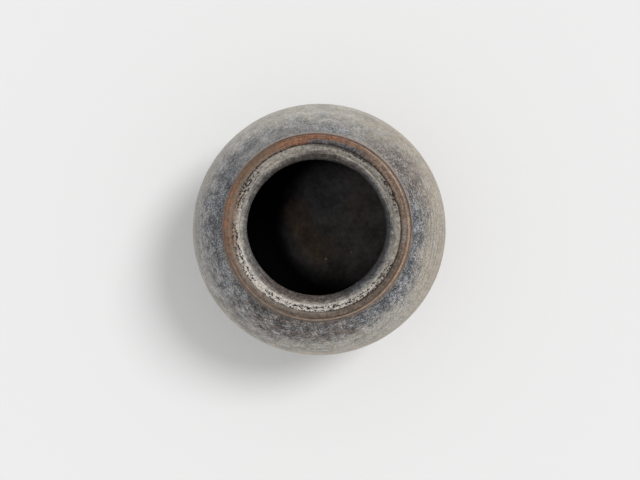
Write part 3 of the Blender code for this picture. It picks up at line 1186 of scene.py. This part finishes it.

# %% [markdown]
# ### Lines and smudges
#
# Fine wheel lines run round under all of it, and stronger drawn-out strokes at the front. There are rusty
# smudges on the front of the shoulder, a pale rubbed patch just outside the lip at the back left, and a
# brown band all round just outside the lip, stronger on the left and at the front right. Two softer stains
# lie on the shoulder at the back right.

# %% Wall clay, lines and smudges
smudge = side(260, 44, 30, 20) * band(radius, 120, 8) * ease(rounds(5, 9, 21), 0.50, 0.58)
clean = side(120, 22, 24, 34) * band(radius, 111, 7)
brow = side(178, 48, 30, 27) * 0.35 + side(318, 30, 30, 40) * 0.35 + 0.30
shade = side(264, 24, 24, 28) * ease(radius, 113, 106)
colour = varied(calm * 0.18, colour, ease(wheel, 0.32, 0.68))
colour = coats(
    colour,
    (smudge * above * 0.6, (0.135, 0.088, 0.075)),
    (clean * above * 0.45, (0.330, 0.318, 0.300)),
    (brow * ease(radius, 105.8, 103) * above, (0.225, 0.155, 0.114)),
    (shade * above * 0.2, (0.105, 0.092, 0.084)),
)
front = side(275, 60, 30, 36) * ash * 0.28
colour = varied(front, colour, ease(rounds(4, 16, 37), 0.38, 0.62))
for azimuth, half, middle, seed, stained in (
    (28, 18, 124, 44, (0.170, 0.125, 0.110)),
    (62, 14, 131, 46, (0.330, 0.275, 0.190)),
):
    stain = side(azimuth, half, 20, seed) * band(radius, middle, 13) * above
    stain = stain * clouds(9, 0.10, seed + 1, cover=0.45, grit=0.7)
    colour = layer(stain * 0.55, colour, stained)
tell("the smudged clay")

# %% [markdown]
# ### Wear, painted light and pits
#
# The belly is paler in a ragged band, most of all at the front: rubbed wear, and painted light along its
# edge, where the light falls off. The shoulder right beside the lip at the back gets a painted highlight,
# where the foot of the neck catches the light. Short dark flecks run along the turning, a few round pits are
# left by grit, and the foot of the wall has dirt in it.

# %% Wall clay, wear, painted light and pits
# Wear and painted light: the belly's edge is painted paler, most of all at the front.
belly = ease(clouds(22, 0.3, 38, grit=0.7) * 8 + radius, 138, 151)
# Painted highlight on the shoulder just outside the lip at the back.
lip_foot_highlight = side(78, 62, 30, 22) * ease(radius, 106.5, 104) * above
flecks = ease(rounds(2.4, 22, 39), 0.66, 0.72)
pits = pitted(6, 0.14, 0.12, 23)
colour = coats(
    colour,
    (belly * (side(256, 34, 60, 35) * 0.32 + 0.25), (0.540, 0.470, 0.380)),
    (lip_foot_highlight * 0.75, (0.320, 0.272, 0.245)),
    (flecks * 0.5, (0.150, 0.125, 0.105)),
    (pits * 0.8, (0.070, 0.055, 0.045)),
    (ease(level, 26, 6) * 0.6, (0.260, 0.210, 0.165)),
)
height = wheel * 0.5 - dark_grain * 0.3 + pale_grain * 0.3 - pits * 2.0
lay_on(shader, colour, ease(ash, 0, 1, 0.88, 0.74), height, 0.25 * MM)

# %% [markdown]
# ## The foot's clay
#
# Nobody glazes a foot, because the glaze would stick to the kiln shelf. It is the bare warm clay,
# cut with a wire and trimmed, gritty, and paler where the standing ring has been rubbed clean.

# %% Foot clay
tree, shader = new_finish("foot_clay", 0.2)
radius, _, _ = place_on_jar()
wheel = rounds(1.5, 1.0, 32)
colour = layer(clouds(18, 0.25, 31), (0.340, 0.275, 0.210), (0.255, 0.200, 0.155))
colour = varied(0.35, colour, ease(wheel, 0.3, 0.7))
colour = varied(0.30, colour, clouds(2.2, 0.12, 33, grit=0.7))
standing = band(radius, 66, 9) * clouds(9, 0.15, 34, cover=0.6)
grit = pitted(3, 0.3, 0.2, 35)
colour = coats(colour, (standing * 0.6, (0.43, 0.38, 0.32)), (grit, (0.110, 0.088, 0.075)))
lay_on(shader, colour, ease(wheel, 0.2, 0.8, 0.82, 0.95), wheel - grit, 0.3 * MM)

# %% [markdown]
# ## The neck's clay
#
# The hollow of the neck lies in shade under the lip, and that shade is painted into its clay: it is the
# darkest clay outside, brown towards the lip, and speckled like the shoulder below.

# %% Neck clay
tree, shader = new_finish("neck_clay", 0.25)
_, level, _ = place_on_jar()
wheel = rounds(1.6, 1.2, 41)
# Painted shade: the neck's clay is dark for the shade under the lip, and darker towards the lip.
colour = layer(ease(level, 219, 230), (0.170, 0.152, 0.138), (0.115, 0.088, 0.070))
colour = varied(0.40, colour, ease(wheel, 0.32, 0.68))
colour = varied(0.35, colour, clouds(5, 0.15, 42, grit=0.7))
grain = clouds(1.7, 0.05, 43, cover=0.36)
# Painted highlight on the neck's foot at the back, where it flares out into the light.
lip_foot_highlight = side(78, 62, 30, 22) * ease(level, 221, 218.5)
colour = coats(colour, (grain * 0.65, (0.050, 0.048, 0.052)), (lip_foot_highlight * 0.7, (0.320, 0.272, 0.245)))
lay_on(shader, colour, ease(wheel, 0.2, 0.8, 0.7, 0.9), wheel - grain, 0.2 * MM)

# %% [markdown]
# ## The lip's glaze
#
# The lip was dipped in a thin iron glaze. It fired bright rust at the back, brown on the left with
# an orange outer half and glowing patches, and a dull grey-brown at the front and right. It has
# worn off along the arris, down to pale tan clay. The fold is off centre, so masks on its inner
# part measure `inward`, the distance from the fold's own centre.

# %% Lip glaze, colours
tree, shader = new_finish("lip_glaze", 0.22)
radius, level, heading = place_on_jar()
inward = inward_radius(radius, heading)
wheel = rounds(0.9, 1.4, 54)
colour = coats(
    (0.160, 0.123, 0.096),
    (side(118, 80, 50, 51), (0.160, 0.090, 0.056)),
    (side(140, 18, 24, 71) * 0.6, (0.130, 0.090, 0.058)),
    (side(92, 18, 20, 67) * 0.8, (0.215, 0.088, 0.044)),
    (side(8, 42, 30, 52) * 0.8, (0.205, 0.140, 0.102)),
    (side(306, 44, 40, 53) * 0.85, (0.102, 0.077, 0.060)),
    (side(178, 34, 30, 72) * ease(inward, 95.0, 98.5) * 0.75, (0.270, 0.140, 0.085)),
    (side(192, 34, 30, 82) * clouds(5, 0.08, 83, cover=0.32) * 0.6, (0.330, 0.120, 0.060)),
    (clouds(14, 0.12, 73) * 0.35, (0.115, 0.090, 0.068)),
)
uneven = 1 - side(146, 34, 24, 85) * 0.45
colour = varied(0.42, colour, ease(wheel, 0.3, 0.7))
colour = varied(uneven * 0.35, colour, clouds(5, 0.16, 55, grit=0.7))
colour = varied(uneven * 0.28, colour, clouds(1.7, 0.12, 56))
colour = layer(side(226, 40, 40, 57) * ease(wheel, 0.50, 0.62) * 0.6, colour, (0.085, 0.062, 0.050))
tell("the lip's glaze")

# %% [markdown]
# ### The lip's outer face
#
# A speckled strip of soot lies inside the crown at the back right. Outside the arris the lip turns
# away into a matt face, pale on the left, where two thin grooves run, and nearly black on top at
# the back right. A dark groove runs inside the arris on the front and right.

# %% Lip glaze, soot, face and grooves
soot = side(76, 20, 16, 59) * ease(inward, 96.8, 94.2)
soot_grain = layer(clouds(1.8, 0.08, 58), (0.028, 0.034, 0.044), (0.140, 0.142, 0.148))
on_top = ease(level, 234, 237)
outside = ease(radius, 99.9, 100.9)
face_tone = coats(
    (0.150, 0.098, 0.068),
    (side(62, 56, 30, 68) * on_top, (0.020, 0.012, 0.009)),
    (side(172, 44, 30, 69), (0.300, 0.195, 0.135)),
)
face_tone = varied(0.40, face_tone, clouds(5, 0.16, 84, grit=0.7))
outer_grooves = most(band(radius, 99.8, 0.9), band(radius, 101.1, 0.7)) * side(150, 62, 40, 60)
arris_slips = agreement(heading, ARRIS_SLIP_SIDE)
crest = ease(arris_slips, 0.0, 0.9, arris.x / MM, (arris.x + ARRIS_SLIP) / MM)
inner_groove = band(crest - radius, 1.9, 1.2) * most(side(24, 14, 12, 61), side(308, 44, 30, 74))
colour = coats(
    colour,
    (soot * 0.85, soot_grain),
    (outside * 0.88, face_tone),
    (outer_grooves * 0.55, (0.045, 0.030, 0.024)),
    (inner_groove * 0.7, (0.065, 0.044, 0.034)),
)
tell("the lip with its outer face")

# %% [markdown]
# ### The lip's worn line and inner edge
#
# The arris is a bright worn line on the front and right, broken up by wear, and it fades out on the left. It
# stays on top of the lip. One worn spot on the right is grey clay. On the inside, some of the crust's lime
# is smeared over the lip on the left. A ragged dark line parts the lip from the crust: it is the painted
# shadow that the lip's step casts into the groove, faint on the left, where the step faces the lamp.

# %% Lip glaze, worn line, lime and painted groove shadow
bright = side(345, 82, 30, 62) * 0.60 + side(236, 32, 20, 75) * 0.35 - side(13, 8, 8, 79) * 0.40 + 0.06
width = side(336, 34, 40, 70) * 0.7 + 1.2
worn_line = band(radius, crest, width) * bright * on_top * clouds(6, 0.25, 63, cover=0.9)
worn_tone = layer(side(345, 26, 30, 76), (0.480, 0.345, 0.250), (0.490, 0.298, 0.190))
colour = layer(worn_line, colour, worn_tone)
colour = varied(worn_line * 0.6, colour, clouds(2.0, 0.12, 81, grit=0.7))
bare_spot = side(357, 7, 5, 77) * band(inward, 95.0, 3.2) * clouds(2.4, 0.1, 78)
lime = most(
    side(240, 46, 24, 80) * ease(inward, 93.0, 91.0) * 0.38,
    side(206, 12, 12, 92) * ease(inward, 95.5, 91.0) * 0.35,
    side(146, 36, 24, 94) * ease(inward, 94.0, 91.5) * 0.32,
)
# Painted shadow: the dark line in the groove between the lip and the crust, faint on the lit left.
jag = (clouds(2.2, 0.14, 64) - 0.5) * 2.4
groove_shadow = ease(inward + jag, 91.6, 90.8)
strong = 0.95 - side(220, 64, 24, 65) * 0.85
colour = coats(
    colour,
    (bare_spot * 0.8, (0.260, 0.285, 0.275)),
    (lime * clouds(2.2, 0.15, 93, cover=0.75), (0.380, 0.345, 0.310)),
    (groove_shadow * strong, (0.040, 0.031, 0.027)),
)
gloss = clouds(7, 0.3, 66) * 0.18 + 0.52
lay_on(shader, colour, most(gloss, outside * 0.95), wheel - groove_shadow * 0.8, 0.15 * MM)

# %% [markdown]
# ## The ledge's clay
#
# The ledge is smooth pale clay. It goes dark over the nose, where what was stored in the jar has stained it:
# blue-black on most sides and brown at the front and the back. On the left, where the nose faces the lamp,
# it is painted lighter, as painted light. The stain reaches further out on some sides, is streaky and sets
# in with fine flecks. Where the nose turns under it is darkest, stain and painted shade together, except on
# the lit left.

# %% Ledge clay
tree, shader = new_finish("ledge_clay", 0.2)
radius, _, _ = place_on_jar()
wheel = rounds(1.1, 3.0, 83)
spread = (clouds(6, 0.25, 86, grit=0.7) - 0.5) * 3.0
for azimuth, half, further in ((34, 18, -1.2), (124, 18, -0.4), (280, 62, 1.6), (92, 16, 2.0), (0, 12, 2.2)):
    spread = spread - side(azimuth, half, 30, 88) * further
stain = ease(radius + spread, 84.2, 77.2)
# Stain and painted shade: the nose is darkest where it turns under, less on the left, and the stain is
# painted lighter on the left where the nose faces the lamp.
deep = (0.65 - side(205, 48, 40, 91) * 0.55) * ease(spread * 0.7 + radius, 79.2, 75.8)
stain_tone = coats(
    (0.058, 0.058, 0.064),
    (side(252, 34, 40, 84), (0.100, 0.078, 0.066)),
    (side(90, 34, 40, 79) * 0.9, (0.078, 0.062, 0.050)),
    (side(165, 45, 40, 85) * 0.6, (0.140, 0.128, 0.115)),
    (deep, (0.012, 0.011, 0.012)),
)
colour = layer(side(280, 70, 50, 81), (0.345, 0.318, 0.277), (0.370, 0.348, 0.312))
colour = varied(0.25, colour, clouds(8, 0.2, 82, grit=0.7))
colour = layer(stain * 0.97, colour, stain_tone)
colour = varied(stain * 0.35 + 0.22, colour, ease(wheel, 0.3, 0.7))
colour = varied(stain * 0.40 + 0.10, colour, clouds(2.2, 0.12, 89, grit=0.7))
flecks = clouds(1.5, 0.05, 90, cover=0.36) * stain * (1 - stain) * 3.0
colour = layer(flecks * 0.6, colour, (0.060, 0.062, 0.070))
lay_on(shader, colour, ease(stain, 0, 1, 0.80, 0.66), wheel, 0.10 * MM)

# %% [markdown]
# ## The crust's lime
#
# The sealing was lime and mud. It is chalk white at the front and left, where most of it is left and where
# it faces the lamp, so that whiteness is lime and painted light together; it has whiter grains in it and is
# greyer elsewhere. At the back right, in the lip's shadow, it is painted dark: soot and painted shadow. On
# the left the lip's rust has run over it. Its outer edge follows the fold, so `inward` is measured here too.

# %% Crust, colours
tree, shader = new_finish("crust", 0.1)
radius, _, heading = place_on_jar()
inward = inward_radius(radius, heading)
grains = clouds(1.6, 0.05, 103, cover=0.40) * side(225, 60, 40, 104)
# Soot and painted shadow: the crust's outer edge at the back right, in the lip's shadow.
soot_and_shadow = side(70, 26, 20, 111) * ease(inward, 86.8, 88.6)
rust = side(178, 20, 16, 105) * ease(inward, 84.5, 88.0)
# Lime and painted light: whiter at the front and left, where the crust faces the lamp.
colour = layer(side(250, 72, 50, 101), (0.305, 0.280, 0.244), (0.440, 0.406, 0.358))
colour = varied(0.35, colour, clouds(3.5, 0.15, 102, grit=0.7))
colour = coats(
    colour,
    (grains * 0.65, (0.780, 0.755, 0.725)),
    (soot_and_shadow * 0.75, (0.060, 0.054, 0.050)),
    (rust * 0.8, (0.230, 0.138, 0.090)),
)
tell("the crust's lime")

# %% [markdown]
# ### The crust's holes
#
# The holes lie in two rows that waver a little. The outer one follows the fold and the inner one
# the jar's own circle, so they draw together on one side, and at the back left there is a third.
# They crowd on some sides and are rare on others. Dashes of the wheel lines effect make the long holes and
# patches the round ones. The holes are painted nearly black, as painted shade inside them.

# %% Crust, holes
waver = (clouds(6, 0.20, 112) - 0.5) * 3.0
third_side = side(152, 17, 12, 107)
third_row = band(radius + waver, 83.4, 1.9) * third_side
rows = most(band(inward + waver, 89.6, 2.4), band(radius + waver, 86.8, 2.9), third_row)
busy = most(
    third_side,
    side(26, 15, 12, 106),
    side(60, 12, 10, 114) * 0.8,
    side(198, 24, 10, 108),
    side(282, 54, 12, 109),
)
crowded = rows * (busy * 0.75 + 0.25)
long_holes = ease(rounds(2.0, 34, 110) + crowded * 0.20, 0.70, 0.73)
holes = most(long_holes, clouds(1.9, 0.04, 113, cover=crowded * 0.42))
# Painted shade: the holes are coloured nearly black.
colour = layer(holes, colour, (0.026, 0.021, 0.020))
lay_on(shader, colour, ease(holes, 0, 1, 0.9, 0.95), 1 - holes, 0.6 * MM)

# %% [markdown]
# ## The glaze inside
#
# The inside was swilled with a dark glaze, nearly black, and it hardly shines any more. On the floor, light
# is painted in one soft patch towards the right, with a bluish tinge at its back. A bent brown stain lies on
# the left of the patch, a fainter one on the right, and there are a few crumbs.

# %% Inner glaze
tree, shader = new_finish("inner_glaze", 0.02)
spot = point()


def near(x, y, start, end):
    """A mask round a point of the floor: 0 at the distance start and 1 at the distance end."""
    away = vector("DISTANCE", spot, (x * MM, y * MM, floor_top), output="Value")
    return ease(away, start * MM, end * MM)


# Painted light: the soft lit patch on the jar's floor, towards the right.
painted_light = near(33, 12.5, 92, 42) * ease(clouds(20, 0.3, 91, grit=0.7), 0, 1, 0.75, 1.0)
stain = most(near(-27, 24, 24, 6), near(-24, 6, 20, 5), near(-13, -9, 22, 6), near(0, -22, 28, 9))
stain = most(stain, near(46, 30, 24, 6) * 0.25) * clouds(12, 0.2, 92, cover=0.80)
crumbs = most(pitted(9, 0.12, 0.06, 94) * painted_light, near(38, -25, 1.4, 0.8), near(6.5, -33.5, 2.0, 1.2))
colour = coats(
    (0.0025, 0.0022, 0.0026),
    (painted_light, (0.280, 0.257, 0.250)),
    (painted_light * near(-2, 52, 46, 14) * 0.55, (0.170, 0.190, 0.235)),
    (stain * 0.7, (0.275, 0.182, 0.120)),
)
colour = varied(0.22, colour, clouds(5, 0.2, 93, grit=0.7))
colour = varied(0.30, colour, clouds(22, 0.2, 96, grit=0.7))
colour = layer(crumbs, colour, (0.62, 0.58, 0.54))
lay_on(shader, colour, ease(painted_light, 0, 1, 0.75, 0.9), rounds(2.5, 1.0, 95), 0.2 * MM)

# %% [markdown]
# ## Dressing the pieces
#
# Every piece stands for one solid of the imported model, which is hidden, and is listed beside one slot of
# the record. It rides on the jar's only body. Its materials are filled in the order that the wheel wrote
# down.

# %% Pieces wear their finishes
STANDS_FOR = {
    "jar_floor": ("base_disc", "foot_clay"),
    "corner_roll": ("corner_coil", "inner_glaze"),
    "lower_course": ("lower_wall", "wall_clay"),
    "seam_roll": ("belly_seam_coil", "inner_glaze"),
    "upper_course": ("shoulder_wall", "wall_clay"),
    "neck_collar": ("neck_band", "neck_clay"),
    "lid_rest": ("lid_ledge", "ledge_clay"),
    "lip_rim": ("lip_roll", "lip_glaze"),
    "sealing_crust": ("seal_crust", "crust"),
}
for name, used in dress_list.items():
    piece = bpy.data.objects[name]
    for finish in used:
        piece.data.materials.append(finishes[finish])
    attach(piece, "root")
    node_name, slot = STANDS_FOR[name]
    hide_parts(node_name)
    print(name, "stands for", node_name, "and wears", used)

seen_low, seen_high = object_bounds()
print("dressed jar, lowest and highest corner in mm:", in_mm(seen_low, seen_high))
